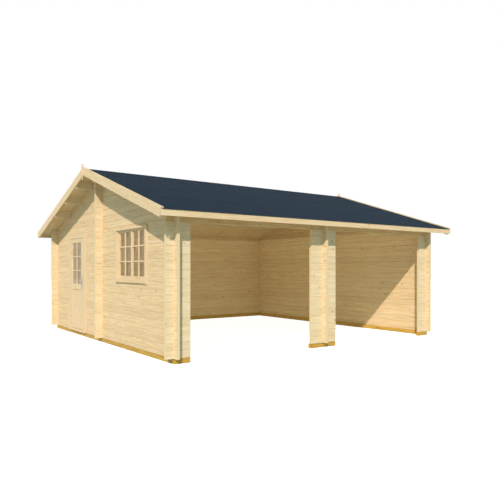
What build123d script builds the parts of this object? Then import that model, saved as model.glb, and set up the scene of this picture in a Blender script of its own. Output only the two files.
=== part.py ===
from build123d import *
import os
from math import atan, ceil, cos, floor, sin

os.makedirs("parts", exist_ok=True)

# Two-bay log cabin, open at the front, millimetres.
# X runs along the ridge, the front faces -Y, Z is up from the ground.

# Plan, measured over the outer faces of the log walls
front_length = 5700
side_length = 5640

# Logs: square-planed planks laid in courses, edges bevelled where two meet
log_thick = 44
course = 113
groove = 4
log_end = 130
cross_end = 90

# Ground beams under every wall
beam_height = 75
beam_width = 70

# Roof
eave_height = 2203
roof_slope = 0.3205
deck_thick = 19
felt_thick = 4
gable_overhang = 346
eave_overhang = 300
felt_drip = 8
purlin_depth = 130
purlin_spacing = 670
first_purlin = 465
purlin_rows = 3
fascia_thick = 20
fascia_height = 86

# Boards that close the roof edges at the gables
barge_thick = 20
barge_height = 123
barge_rise = 4
cap_thick = 16
cap_width = 40
cap_reach = 4
finial_width = 90
finial_height = 295
finial_rise = 62
finial_point = 55

# Front bays
corner_post = 260
middle_post = 570
lintel_courses = 2
least_plate = 0.3

# Side door, hinged at its rear edge, opening outwards
door_centre = 1383
leaf_width = 800
leaf_height = 1820
leaf_thick = 40
leaf_gap = 7
jamb = 36
threshold = 42
sill_stand = 25
trim_thick = 18
door_trim_width = 118
trim_lap = 20
stop_lap = 15
glass_side_margin = 133
glass_low = 900
glass_top_margin = 80
pane_thick = 4
rail_height = 110
kick_height = 75
panel_thick = 16
hinge_radius = 7
hinge_height = 70
hinge_offset = 13
hinge_plate = 4
hinge_reach = 32
pin_radius = 3.5
pin_play = 0.1
pin_length = 26
plate_width = 42
plate_height = 230
plate_thick = 4
lever_length = 110
lever_radius = 9
lever_stand = 42
lever_inset = 70
lever_height = 950

# Side window, two sashes in one frame
window_centre = -1333
window_width = 1170
window_low = 1143
window_high = 1990
window_frame_face = 45
window_frame_depth = 80
sash_stile = 24
sash_thick = 44
sash_setback = 23
pane_setback = 28
window_trim_width = 64
trim_tail = 22
head_stand = 15
head_lap = 12

# Derived levels and lines
half_front = front_length / 2
half_side = side_length / 2
half_log = log_thick / 2
half_course = course / 2
pitch = atan(roof_slope)
wall_x = half_front - half_log
wall_y = half_side - half_log
log_reach_x = half_front + log_end
log_reach_y = half_side + cross_end
x_joint = beam_height
y_joint = beam_height + half_course
plate_joint = x_joint + floor((eave_height - x_joint) / course - least_plate) * course
lintel_low = plate_joint - (lintel_courses - 1) * course
plate_seat = plate_joint + half_course
ridge_under = eave_height + roof_slope * half_side
deck_end = half_front + gable_overhang - barge_thick
barge_out = deck_end + barge_thick
deck_rise = deck_thick / cos(pitch)
felt_rise = felt_thick / cos(pitch)
fascia_inner = half_side + eave_overhang - fascia_thick
fascia_outer = half_side + eave_overhang
purlin_lines = [first_purlin + i * purlin_spacing for i in range(purlin_rows)]
clear_height = ridge_under + course


def roof_under(y):
    """Level of the underside of the roof boards above the line y."""
    return ridge_under - roof_slope * abs(y)


def stack(plane, low, high, joint, length):
    """A stack of logs in section, bevelled at each joint, run along the plane's normal."""
    edge = []
    level = joint
    while level < low - groove:
        level += course
    if abs(level - low) < groove:
        edge += [(half_log - groove, low), (half_log, low + groove)]
        level += course
    else:
        edge += [(half_log, low)]
    while level < high - groove:
        edge += [(half_log, level - groove), (half_log - groove, level), (half_log, level + groove)]
        level += course
    if abs(level - high) < groove:
        edge += [(half_log, high - groove), (half_log - groove, high)]
    else:
        edge += [(half_log, high)]
    edge += [(-x, z) for x, z in reversed(edge)]
    with BuildSketch(plane) as section:
        with BuildLine():
            Polyline(*edge, close=True)
        make_face()
    extrude(section.sketch, amount=length)


def logs_along_x(x0, x1, y, low, high):
    """Logs lying along the ridge direction; the lowest is a whole log."""
    stack(Plane(origin=(x0, y, 0), x_dir=(0, 1, 0), z_dir=(1, 0, 0)), low, high, x_joint, x1 - x0)


def logs_along_y(y0, y1, x, low, high):
    """Logs lying across the ridge direction; the lowest is half a log, so joints fall between."""
    stack(Plane(origin=(x, y0, 0), x_dir=(-1, 0, 0), z_dir=(0, 1, 0)), low, high, y_joint, y1 - y0)


def block(x0, x1, y0, y1, z0, z1, mode=Mode.ADD):
    """A square-edged box between two corners."""
    with BuildSketch(Plane.XY.offset(z0)) as base:
        with Locations(((x0 + x1) / 2, (y0 + y1) / 2)):
            Rectangle(x1 - x0, y1 - y0)
    extrude(base.sketch, amount=z1 - z0, mode=mode)


def seats(x, y, first, high):
    """Seats cut half a course deep in the underside of each log, over the log that it crosses."""
    count = ceil((high - first - groove) / course)
    centres = [(y, first + half_course / 2 + i * course) for i in range(count)]
    with BuildSketch(Plane(origin=(x - half_log, 0, 0), x_dir=(0, 1, 0), z_dir=(1, 0, 0))) as pattern:
        with Locations(*centres):
            Rectangle(log_thick, half_course)
    extrude(pattern.sketch, amount=log_thick, mode=Mode.SUBTRACT)


def seats_in_x_logs(x, y):
    """Cross seats in logs that run along X."""
    seats(x, y, x_joint, plate_seat)


def seats_in_y_logs(x, y, high):
    """Cross seats in logs that run along Y."""
    seats(x, y, y_joint, high)


def seat_for_plate(x, y):
    """The top log of a long wall fills the corner up to the roof."""
    block(x - half_log, x + half_log, y - half_log, y + half_log, plate_seat, clear_height, Mode.SUBTRACT)


def prism(points, x0, x1, mode=Mode.ADD):
    """A shape drawn in the gable plane and run along X."""
    with BuildSketch(Plane(origin=(x0, 0, 0), x_dir=(0, 1, 0), z_dir=(1, 0, 0))) as outline:
        with BuildLine():
            Polyline(*points, close=True)
        make_face()
    extrude(outline.sketch, amount=x1 - x0, mode=mode)


def cut_to_roof():
    """Cuts away all that stands above the underside of the roof boards."""
    far = log_reach_y + course
    points = [(-far, roof_under(far)), (0, ridge_under), (far, roof_under(far))]
    points += [(far, clear_height + course), (-far, clear_height + course)]
    prism(points, -deck_end - course, deck_end + course, Mode.SUBTRACT)


def purlin(y):
    """One roof beam, standing on edge from gable board to gable board."""
    low = roof_under(y) - purlin_depth
    block(-deck_end, deck_end, y - half_log, y + half_log, low, clear_height)


def purlin_pockets(x):
    """Pockets through a gable for every roof beam, open at the roof."""
    tall = purlin_depth + course
    lines = [0] + purlin_lines + [-line for line in purlin_lines]
    centres = [(line, roof_under(line) - purlin_depth + tall / 2) for line in lines]
    with BuildSketch(Plane(origin=(x - log_thick, 0, 0), x_dir=(0, 1, 0), z_dir=(1, 0, 0))) as pattern:
        with Locations(*centres):
            Rectangle(log_thick, tall)
    extrude(pattern.sketch, amount=2 * log_thick, mode=Mode.SUBTRACT)


def slope_sheet(side, above, thick, reach):
    """A sheet on one roof slope with plumb edges at ridge and eave."""
    far = roof_under(reach) + above
    points = [(0, ridge_under + above), (side * reach, far)]
    points += [(side * reach, far + thick), (0, ridge_under + above + thick)]
    prism(points, -deck_end, deck_end)


def gable_board(side, x0, x1, low, high, reach):
    """A board that follows one slope of a gable, cut square at the eave and plumb at the peak.
    low and high are measured square to the roof boards' underside."""
    eave = half_side + eave_overhang + reach
    top = (side * eave, roof_under(eave) + high / cos(pitch))
    drop = high - low
    foot = (side * (eave - drop * sin(pitch)), top[1] - drop * cos(pitch))
    points = [(0, ridge_under + low / cos(pitch)), (0, ridge_under + high / cos(pitch)), top, foot]
    prism(points, x0, x1)


def ring(x0, x1, y0, y1, z0, z1, sides, low, high):
    """A rectangular frame standing in the side wall."""
    block(x0, x1, y0, y0 + sides, z0, z1)
    block(x0, x1, y1 - sides, y1, z0, z1)
    block(x0, x1, y0 + sides, y1 - sides, z0, z0 + low)
    block(x0, x1, y0 + sides, y1 - sides, z1 - high, z1)


# Ground beams: the side beams run the full depth, the others fit between them
with BuildPart() as foundation_left:
    block(-half_front, -half_front + beam_width, -half_side, half_side, 0, beam_height)

foundation_left.part.label = "foundation_left"
export_step(foundation_left.part, "parts/foundation_left.step")

with BuildPart() as foundation_right:
    block(half_front - beam_width, half_front, -half_side, half_side, 0, beam_height)

foundation_right.part.label = "foundation_right"
export_step(foundation_right.part, "parts/foundation_right.step")

with BuildPart() as foundation_back:
    block(-half_front + beam_width, half_front - beam_width, half_side - beam_width, half_side, 0, beam_height)

foundation_back.part.label = "foundation_back"
export_step(foundation_back.part, "parts/foundation_back.step")

with BuildPart() as foundation_front:
    block(-half_front + beam_width, -half_front + corner_post, -half_side, -half_side + beam_width, 0, beam_height)
    block(-middle_post / 2, middle_post / 2, -half_side, -half_side + beam_width, 0, beam_height)
    block(half_front - corner_post, half_front - beam_width, -half_side, -half_side + beam_width, 0, beam_height)

foundation_front.part.label = "foundation_front"
export_step(foundation_front.part, "parts/foundation_front.step")

# Side wall with door and window, divided along the openings
door_half = leaf_width / 2 + leaf_gap + jamb
door_y0 = door_centre - door_half
door_y1 = door_centre + door_half
leaf_low = beam_height + threshold + leaf_gap
leaf_high = leaf_low + leaf_height
door_top = leaf_high + leaf_gap + jamb
window_y0 = window_centre - window_width / 2
window_y1 = window_centre + window_width / 2
sill_line = y_joint + round((window_low - y_joint) / course) * course
gable_line = y_joint + ceil((max(door_top, window_high) - y_joint) / course) * course
head_line = y_joint + floor((min(door_top, window_high) - y_joint) / course) * course


def clear_window():
    """The window opening cut through the side wall."""
    block(-half_front - course, -half_front + course, window_y0, window_y1, window_low, window_high, Mode.SUBTRACT)


def clear_door():
    """The door opening cut through the side wall."""
    block(-half_front - course, -half_front + course, door_y0, door_y1, beam_height, door_top, Mode.SUBTRACT)


def side_logs(x, y0, y1, low, high):
    """A panel of a side wall, seated over the crossing logs and cut to the roof and its beams."""
    logs_along_y(y0, y1, x, low, high)
    for corner in (-wall_y, wall_y):
        seats_in_y_logs(x, corner, plate_seat)
        seat_for_plate(x, corner)
    seats_in_y_logs(x, 0, clear_height)
    cut_to_roof()
    purlin_pockets(x)


with BuildPart() as wall_left_rear:
    side_logs(-wall_x, door_y1, log_reach_y, beam_height, head_line)

wall_left_rear.part.label = "wall_left_rear"
export_step(wall_left_rear.part, "parts/wall_left_rear.step")

with BuildPart() as wall_left_lower:
    side_logs(-wall_x, -log_reach_y, door_y0, beam_height, sill_line)
    clear_window()

wall_left_lower.part.label = "wall_left_lower"
export_step(wall_left_lower.part, "parts/wall_left_lower.step")

with BuildPart() as wall_left_middle:
    side_logs(-wall_x, window_y1, door_y0, sill_line, head_line)

wall_left_middle.part.label = "wall_left_middle"
export_step(wall_left_middle.part, "parts/wall_left_middle.step")

with BuildPart() as wall_left_front:
    side_logs(-wall_x, -log_reach_y, window_y0, sill_line, head_line)

wall_left_front.part.label = "wall_left_front"
export_step(wall_left_front.part, "parts/wall_left_front.step")

with BuildPart() as wall_left_head:
    side_logs(-wall_x, -log_reach_y, log_reach_y, head_line, gable_line)
    clear_window()
    clear_door()

wall_left_head.part.label = "wall_left_head"
export_step(wall_left_head.part, "parts/wall_left_head.step")

with BuildPart() as wall_left_gable:
    side_logs(-wall_x, -log_reach_y, log_reach_y, gable_line, clear_height)

wall_left_gable.part.label = "wall_left_gable"
export_step(wall_left_gable.part, "parts/wall_left_gable.step")

# Closed side wall
with BuildPart() as wall_right:
    side_logs(wall_x, -log_reach_y, log_reach_y, beam_height, gable_line)

wall_right.part.label = "wall_right"
export_step(wall_right.part, "parts/wall_right.step")

with BuildPart() as wall_right_gable:
    side_logs(wall_x, -log_reach_y, log_reach_y, gable_line, clear_height)

wall_right_gable.part.label = "wall_right_gable"
export_step(wall_right_gable.part, "parts/wall_right_gable.step")

# Back wall
with BuildPart() as wall_back:
    logs_along_x(-log_reach_x, log_reach_x, wall_y, beam_height, plate_joint)
    block(-log_reach_x, log_reach_x, wall_y - half_log, wall_y + half_log, plate_joint, clear_height)
    for corner in (-wall_x, wall_x):
        seats_in_x_logs(corner, wall_y)
    cut_to_roof()

wall_back.part.label = "wall_back"
export_step(wall_back.part, "parts/wall_back.step")

# Front: three posts and the lintel over both bays
with BuildPart() as post_front_left:
    logs_along_x(-log_reach_x, -half_front + corner_post, -wall_y, beam_height, lintel_low)
    seats_in_x_logs(-wall_x, -wall_y)

post_front_left.part.label = "post_front_left"
export_step(post_front_left.part, "parts/post_front_left.step")

with BuildPart() as post_front_middle:
    logs_along_x(-middle_post / 2, middle_post / 2, -wall_y, beam_height, lintel_low)
    seats_in_x_logs(0, -wall_y)

post_front_middle.part.label = "post_front_middle"
export_step(post_front_middle.part, "parts/post_front_middle.step")

with BuildPart() as post_front_right:
    logs_along_x(half_front - corner_post, log_reach_x, -wall_y, beam_height, lintel_low)
    seats_in_x_logs(wall_x, -wall_y)

post_front_right.part.label = "post_front_right"
export_step(post_front_right.part, "parts/post_front_right.step")

with BuildPart() as lintel_front:
    logs_along_x(-log_reach_x, log_reach_x, -wall_y, lintel_low, plate_joint)
    block(-log_reach_x, log_reach_x, -wall_y - half_log, -wall_y + half_log, plate_joint, clear_height)
    for crossing in (-wall_x, 0, wall_x):
        seats_in_x_logs(crossing, -wall_y)
    cut_to_roof()

lintel_front.part.label = "lintel_front"
export_step(lintel_front.part, "parts/lintel_front.step")

with BuildPart() as post_cross:
    logs_along_y(-log_reach_y, -half_side + log_thick + cross_end, 0, beam_height, clear_height)
    seats_in_y_logs(0, -wall_y, plate_seat)
    seat_for_plate(0, -wall_y)
    cut_to_roof()

post_cross.part.label = "post_cross"
export_step(post_cross.part, "parts/post_cross.step")

# Short logs that stiffen each gable under the ridge
with BuildPart() as stiffener_left:
    logs_along_x(-log_reach_x, -half_front + log_thick + log_end, 0, beam_height, ridge_under - purlin_depth)
    seats(-wall_x, 0, x_joint, ridge_under - purlin_depth)

stiffener_left.part.label = "stiffener_left"
export_step(stiffener_left.part, "parts/stiffener_left.step")

with BuildPart() as stiffener_right:
    logs_along_x(half_front - log_thick - log_end, log_reach_x, 0, beam_height, ridge_under - purlin_depth)
    seats(wall_x, 0, x_joint, ridge_under - purlin_depth)

stiffener_right.part.label = "stiffener_right"
export_step(stiffener_right.part, "parts/stiffener_right.step")

# Roof beams
with BuildPart() as purlin_ridge:
    purlin(0)
    cut_to_roof()

purlin_ridge.part.label = "purlin_ridge"
export_step(purlin_ridge.part, "parts/purlin_ridge.step")

with BuildPart() as purlins_front:
    for line in purlin_lines:
        purlin(-line)
    cut_to_roof()

purlins_front.part.label = "purlins_front"
export_step(purlins_front.part, "parts/purlins_front.step")

with BuildPart() as purlins_rear:
    for line in purlin_lines:
        purlin(line)
    cut_to_roof()

purlins_rear.part.label = "purlins_rear"
export_step(purlins_rear.part, "parts/purlins_rear.step")

# Roof boards, mitred at the ridge, and felt laid over both slopes
with BuildPart() as roof_deck_front:
    slope_sheet(-1, 0, deck_rise, fascia_inner)

roof_deck_front.part.label = "roof_deck_front"
export_step(roof_deck_front.part, "parts/roof_deck_front.step")

with BuildPart() as roof_deck_rear:
    slope_sheet(1, 0, deck_rise, fascia_inner)

roof_deck_rear.part.label = "roof_deck_rear"
export_step(roof_deck_rear.part, "parts/roof_deck_rear.step")

with BuildPart() as roof_felt:
    slope_sheet(-1, deck_rise, felt_rise, fascia_outer + felt_drip)
    slope_sheet(1, deck_rise, felt_rise, fascia_outer + felt_drip)

roof_felt.part.label = "roof_felt"
export_step(roof_felt.part, "parts/roof_felt.step")


def fascia(side):
    """Eave board, its top edge planed to the slope of the felt."""
    high_in = roof_under(fascia_inner) + deck_rise
    high_out = roof_under(fascia_outer) + deck_rise
    low = high_out - fascia_height
    points = [(side * fascia_inner, low), (side * fascia_inner, high_in)]
    points += [(side * fascia_outer, high_out), (side * fascia_outer, low)]
    prism(points, -barge_out, barge_out)


with BuildPart() as fascia_front:
    fascia(-1)

fascia_front.part.label = "fascia_front"
export_step(fascia_front.part, "parts/fascia_front.step")

with BuildPart() as fascia_rear:
    fascia(1)

fascia_rear.part.label = "fascia_rear"
export_step(fascia_rear.part, "parts/fascia_rear.step")

# Gable boards with a capping strip, and a pointed slat over the joint at the peak
barge_high = deck_thick + felt_thick + barge_rise
barge_low = barge_high - barge_height


def barge_pair(x0, x1):
    """The two boards of one gable, ending behind the eave boards."""
    for side in (-1, 1):
        gable_board(side, x0, x1, barge_low, barge_high, -fascia_thick)


def cap_pair(x0, x1):
    """The two capping strips of one gable, ending over the eave boards."""
    for side in (-1, 1):
        gable_board(side, x0, x1, barge_high, barge_high + cap_thick, cap_reach)


def finial(x0, x1):
    """A slat pointed at both ends."""
    high = ridge_under + (barge_high + cap_thick) / cos(pitch) + finial_rise
    low = high - finial_height
    half = finial_width / 2
    points = [(0, high), (half, high - finial_point), (half, low + finial_point), (0, low)]
    points += [(-half, low + finial_point), (-half, high - finial_point)]
    prism(points, x0, x1)


with BuildPart() as barge_left:
    barge_pair(-barge_out, -deck_end)

barge_left.part.label = "barge_left"
export_step(barge_left.part, "parts/barge_left.step")

with BuildPart() as barge_right:
    barge_pair(deck_end, barge_out)

barge_right.part.label = "barge_right"
export_step(barge_right.part, "parts/barge_right.step")

with BuildPart() as cap_left:
    cap_pair(-barge_out, -barge_out + cap_width)

cap_left.part.label = "cap_left"
export_step(cap_left.part, "parts/cap_left.step")

with BuildPart() as cap_right:
    cap_pair(barge_out - cap_width, barge_out)

cap_right.part.label = "cap_right"
export_step(cap_right.part, "parts/cap_right.step")

with BuildPart() as finial_left:
    finial(-barge_out - barge_thick, -barge_out)

finial_left.part.label = "finial_left"
export_step(finial_left.part, "parts/finial_left.step")

with BuildPart() as finial_right:
    finial(barge_out, barge_out + barge_thick)

finial_right.part.label = "finial_right"
export_step(finial_right.part, "parts/finial_right.step")

# Door frame: jambs, head and threshold with a stop behind the leaf, and a sill that throws off rain
frame_x0 = -half_front - trim_thick
frame_x1 = -half_front + log_thick + trim_thick
leaf_x1 = frame_x0 + leaf_thick
leaf_y0 = door_centre - leaf_width / 2
leaf_y1 = door_centre + leaf_width / 2
clear_y0 = leaf_y0 - leaf_gap
clear_y1 = leaf_y1 + leaf_gap

trim_y0 = door_y0 + trim_lap - door_trim_width
trim_y1 = door_y1 - trim_lap + door_trim_width

with BuildPart() as door_frame:
    block(frame_x0, frame_x1, door_y0, door_y1, beam_height, door_top)
    block(frame_x0 - sill_stand, frame_x0, trim_y0, clear_y1, beam_height, beam_height + threshold)
    block(
        frame_x0, leaf_x1 + leaf_gap, clear_y0, clear_y1,
        leaf_low - leaf_gap, leaf_high + leaf_gap, Mode.SUBTRACT,
    )
    block(
        leaf_x1 + leaf_gap, frame_x1, clear_y0 + stop_lap, clear_y1 - stop_lap,
        leaf_low - leaf_gap, leaf_high + leaf_gap - stop_lap, Mode.SUBTRACT,
    )

door_frame.part.label = "door_frame"
export_step(door_frame.part, "parts/door_frame.step")


def door_surround(x0, x1):
    """Boards round three sides of the doorway, closing the joint between frame and logs."""
    top = door_top + trim_lap + jamb
    block(x0, x1, trim_y0, trim_y1, beam_height, top)
    block(x0, x1, door_y0, door_y1, beam_height, door_top, Mode.SUBTRACT)


with BuildPart() as door_trim:
    door_surround(-half_front - trim_thick, -half_front)
    door_surround(-half_front + log_thick, -half_front + log_thick + trim_thick)

door_trim.part.label = "door_trim"
export_step(door_trim.part, "parts/door_trim.step")

# Door leaf: stiles, rails and a boarded lower panel
glass_y0 = leaf_y0 + glass_side_margin
glass_y1 = leaf_y1 - glass_side_margin
glass_z0 = leaf_low + glass_low
glass_z1 = leaf_high - glass_top_margin
panel_z0 = leaf_low + kick_height
panel_z1 = glass_z0 - rail_height
leaf_mid = (frame_x0 + leaf_x1) / 2

with BuildPart() as door_leaf:
    block(frame_x0, leaf_x1, leaf_y0, leaf_y1, leaf_low, leaf_high)
    block(frame_x0, leaf_x1, glass_y0, glass_y1, glass_z0, glass_z1, Mode.SUBTRACT)
    block(frame_x0, leaf_mid - panel_thick / 2, glass_y0, glass_y1, panel_z0, panel_z1, Mode.SUBTRACT)
    block(leaf_mid + panel_thick / 2, leaf_x1, glass_y0, glass_y1, panel_z0, panel_z1, Mode.SUBTRACT)

door_leaf.part.label = "door_leaf"
export_step(door_leaf.part, "parts/door_leaf.step")

with BuildPart() as door_glass:
    block(leaf_mid - pane_thick / 2, leaf_mid + pane_thick / 2, glass_y0, glass_y1, glass_z0, glass_z1)

door_glass.part.label = "door_glass"
export_step(door_glass.part, "parts/door_glass.step")

lever_z = leaf_low + lever_height
lever_y = leaf_y0 + lever_inset


def handle(x_face, out):
    """Back plate, spindle boss and lever on one face of the leaf."""
    x_plate = x_face + out * plate_thick
    x_lever = x_face + out * lever_stand
    low = lever_z - plate_height * 2 / 3
    x0, x1 = sorted((x_face, x_plate))
    block(x0, x1, lever_y - plate_width / 2, lever_y + plate_width / 2, low, low + plate_height)
    with BuildSketch(Plane(origin=(x_plate, lever_y, lever_z), x_dir=(0, 1, 0), z_dir=(out, 0, 0))) as boss:
        Circle(lever_radius)
    extrude(boss.sketch, amount=lever_stand - plate_thick)
    far, near = sorted((x_lever, x_lever - out * lever_radius))
    tip = lever_y - lever_radius + lever_length
    block(far, near, lever_y - lever_radius, tip, lever_z - lever_radius, lever_z + lever_radius)


with BuildPart() as door_handle:
    handle(frame_x0, -1)
    handle(leaf_x1, 1)

door_handle.part.label = "door_handle"
export_step(door_handle.part, "parts/door_handle.step")

# Lift-off hinges: a barrel on the leaf stands above a barrel on the jamb
hinge_x = frame_x0 - hinge_offset
hinge_y = leaf_y1 + leaf_gap / 2
hinge_levels = [leaf_low + leaf_height * share for share in (0.14, 0.86)]


def barrel(level, out, side):
    """One half hinge: barrel, plate and packing against the door or the jamb."""
    low, high = sorted((level + out * leaf_gap / 2, level + out * hinge_height / 2))
    with BuildSketch(Plane.XY.offset(low)) as round_face:
        with Locations((hinge_x, hinge_y)):
            Circle(hinge_radius)
    extrude(round_face.sketch, amount=high - low)
    far = hinge_y + side * hinge_reach
    near = hinge_y + side * leaf_gap * 2
    block(hinge_x - hinge_plate / 2, hinge_x + hinge_plate / 2, min(hinge_y, far), max(hinge_y, far), low, high)
    block(hinge_x, frame_x0, min(near, far), max(near, far), low, high)


def pin(level, radius, mode=Mode.ADD):
    """The hinge pin, or the bore it turns in."""
    with BuildSketch(Plane.XY.offset(level - leaf_gap / 2)) as round_face:
        with Locations((hinge_x, hinge_y)):
            Circle(radius)
    extrude(round_face.sketch, amount=pin_length, mode=mode)


with BuildPart() as door_hinges:
    for level in hinge_levels:
        barrel(level, 1, -1)
        pin(level, pin_radius + pin_play, Mode.SUBTRACT)

door_hinges.part.label = "door_hinges"
export_step(door_hinges.part, "parts/door_hinges.step")

with BuildPart() as jamb_hinges:
    for level in hinge_levels:
        barrel(level, -1, 1)
        pin(level, pin_radius)

jamb_hinges.part.label = "jamb_hinges"
export_step(jamb_hinges.part, "parts/jamb_hinges.step")

# Window: one frame, two sashes side by side, a pane in each
frame_out = -half_front - trim_thick
frame_in = frame_out + window_frame_depth
sash_x0 = frame_out + sash_setback
sash_x1 = sash_x0 + sash_thick
sash_y0 = window_y0 + window_frame_face
sash_y1 = window_y1 - window_frame_face
sash_z0 = window_low + window_frame_face
sash_z1 = window_high - window_frame_face / 2
pane_x0 = sash_x0 + pane_setback

with BuildPart() as window_frame:
    ring(
        frame_out, frame_in, window_y0, window_y1, window_low, window_high,
        window_frame_face, window_frame_face, window_frame_face / 2,
    )

window_frame.part.label = "window_frame"
export_step(window_frame.part, "parts/window_frame.step")

with BuildPart() as window_sashes:
    ring(sash_x0, sash_x1, sash_y0, window_centre, sash_z0, sash_z1, sash_stile, sash_stile, sash_stile)
    ring(sash_x0, sash_x1, window_centre, sash_y1, sash_z0, sash_z1, sash_stile, sash_stile, sash_stile)

window_sashes.part.label = "window_sashes"
export_step(window_sashes.part, "parts/window_sashes.step")


def pane(y0, y1):
    """Glass filling one sash."""
    block(
        pane_x0, pane_x0 + pane_thick,
        y0 + sash_stile, y1 - sash_stile, sash_z0 + sash_stile, sash_z1 - sash_stile,
    )


with BuildPart() as window_glass:
    pane(sash_y0, window_centre)
    pane(window_centre, sash_y1)

window_glass.part.label = "window_glass"
export_step(window_glass.part, "parts/window_glass.step")

casing_y0 = window_y0 + trim_lap - window_trim_width
casing_y1 = window_y1 - trim_lap + window_trim_width
casing_z0 = window_low - window_trim_width / 2
casing_z1 = window_high + trim_lap


def window_surround(x0, x1):
    """Boards round the window; the upright ones run down past the bottom one."""
    block(x0, x1, casing_y0, casing_y1, casing_z0, casing_z1)
    block(x0, x1, casing_y0, window_y0, casing_z0 - trim_tail, casing_z0)
    block(x0, x1, window_y1, casing_y1, casing_z0 - trim_tail, casing_z0)
    block(x0, x1, window_y0, window_y1, window_low, window_high, Mode.SUBTRACT)


with BuildPart() as window_trim:
    window_surround(-half_front - trim_thick, -half_front)
    window_surround(-half_front + log_thick, -half_front + log_thick + trim_thick)
    block(frame_out - head_stand, frame_out, casing_y0, casing_y1, window_high - head_lap, casing_z1)

window_trim.part.label = "window_trim"
export_step(window_trim.part, "parts/window_trim.step")
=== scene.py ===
from math import atan, cos, pi, sin

import bmesh
import bpy
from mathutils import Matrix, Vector


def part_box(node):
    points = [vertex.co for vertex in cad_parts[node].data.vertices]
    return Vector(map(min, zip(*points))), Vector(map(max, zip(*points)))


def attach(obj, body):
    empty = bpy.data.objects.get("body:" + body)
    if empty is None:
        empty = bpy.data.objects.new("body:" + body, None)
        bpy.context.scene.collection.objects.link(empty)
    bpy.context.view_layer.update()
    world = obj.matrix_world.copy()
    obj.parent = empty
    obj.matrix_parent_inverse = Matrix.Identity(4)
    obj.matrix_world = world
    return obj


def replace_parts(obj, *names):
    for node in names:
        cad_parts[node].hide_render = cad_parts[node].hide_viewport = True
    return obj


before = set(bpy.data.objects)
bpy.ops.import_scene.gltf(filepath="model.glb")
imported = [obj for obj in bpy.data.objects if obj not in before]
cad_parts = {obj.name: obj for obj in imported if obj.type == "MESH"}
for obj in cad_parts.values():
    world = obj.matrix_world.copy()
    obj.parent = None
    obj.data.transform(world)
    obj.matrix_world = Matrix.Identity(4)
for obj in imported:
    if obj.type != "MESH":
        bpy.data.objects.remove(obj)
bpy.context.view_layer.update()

# Ground beams: sawn softwood, pressure treated to a yellow brown, lying flat on
# the ground under every wall. The side beams run through and the others butt
# against them; the cut ends show their rings.


def put(tree, kind, inputs=None, **settings):
    """Adds a shader node; each input takes a value or another node's output."""
    made = tree.nodes.new(kind)
    for name, value in settings.items():
        setattr(made, name, value)
    for name, value in (inputs or {}).items():
        socket = made.inputs[name]
        if isinstance(value, bpy.types.NodeSocket):
            tree.links.new(value, socket)
        else:
            socket.default_value = value
    return made


def reckon(tree, operation, *terms):
    """One step of arithmetic in a shader."""
    return put(tree, "ShaderNodeMath", dict(enumerate(terms)), operation=operation).outputs[0]


def scaled(tree, place, factors):
    """A place drawn out or squeezed by a factor along each axis."""
    return put(tree, "ShaderNodeVectorMath", {0: place, 1: factors}, operation="MULTIPLY").outputs[0]


def noise(tree, place, scale, detail):
    """Cloudy noise about a place."""
    return put(tree, "ShaderNodeTexNoise", {"Vector": place, "Scale": scale, "Detail": detail}).outputs


def spread(tree, value, low, high, to_low=0.0, to_high=1.0):
    """Stretches a value between two limits, softly at both ends."""
    step = put(
        tree, "ShaderNodeMapRange",
        {"Value": value, "From Min": low, "From Max": high, "To Min": to_low, "To Max": to_high},
        interpolation_type="SMOOTHSTEP",
    )
    return step.outputs["Result"]


def blend_colours(tree, share, first, second, how="MIX"):
    """Two colours mixed by a share."""
    step = put(tree, "ShaderNodeMix", {0: share, 6: first, 7: second}, data_type="RGBA", blend_type=how)
    return step.outputs[2]


def new_group(name, takes, gives):
    """An empty shader node group with its named sockets."""
    tree = bpy.data.node_groups.new(name, "ShaderNodeTree")
    for label, kind in takes.items():
        tree.interface.new_socket(name=label, in_out="INPUT", socket_type="NodeSocket" + kind)
    for label, kind in gives.items():
        tree.interface.new_socket(name=label, in_out="OUTPUT", socket_type="NodeSocket" + kind)
    return tree, put(tree, "NodeGroupInput").outputs, put(tree, "NodeGroupOutput").inputs


def use_group(tree, group, inputs):
    """Places a group in a material with that material's own values."""
    return put(tree, "ShaderNodeGroup", inputs, node_tree=group).outputs


def new_material(name):
    """An empty material, its node tree and its shader."""
    material = bpy.data.materials.new(name)
    material.use_nodes = True
    return material, material.node_tree, material.node_tree.nodes["Principled BSDF"]


# Long grain: growth lines and fibres drawn out along the timber, and round knots
grain_waver = (0.9, 5.0, 5.0)
grain_sway = (0.0, 0.016, 0.016)
line_density = (2.6, 75.0, 75.0)
line_share = 0.6
fibre_density = (5.0, 260.0, 260.0)
knots_along = 2.2
knots_up = 9.0
knot_length = 2.9 / 2.2
smallest_knot = 0.006
largest_knot = 0.016
knot_strength = 0.85
long_grain, given, result = new_group(
    "long_grain",
    {"Place": "Vector", "Pale": "Color", "Deep": "Color", "Knot": "Color", "Knottiness": "Float"},
    {"Colour": "Color", "Height": "Float"},
)
waver = noise(long_grain, scaled(long_grain, given["Place"], grain_waver), 1.0, 1.0)
sway = put(
    long_grain, "ShaderNodeVectorMath",
    {0: waver["Color"], 1: grain_sway, 2: given["Place"]}, operation="MULTIPLY_ADD",
).outputs[0]
growth = noise(long_grain, scaled(long_grain, sway, line_density), 1.0, 4.0)
fibres = noise(long_grain, scaled(long_grain, sway, fibre_density), 1.0, 2.0)
figure = reckon(
    long_grain, "MULTIPLY_ADD", growth["Fac"], line_share,
    reckon(long_grain, "MULTIPLY", fibres["Fac"], 1.0 - line_share),
)
shade = spread(long_grain, figure, 0.39, 0.63)
axes = put(long_grain, "ShaderNodeSeparateXYZ", {0: given["Place"]}).outputs
face = put(
    long_grain, "ShaderNodeCombineXYZ",
    {
        "X": reckon(long_grain, "MULTIPLY", axes["X"], knots_along),
        "Y": reckon(long_grain, "MULTIPLY", axes["Z"], knots_up),
    },
).outputs[0]
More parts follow.
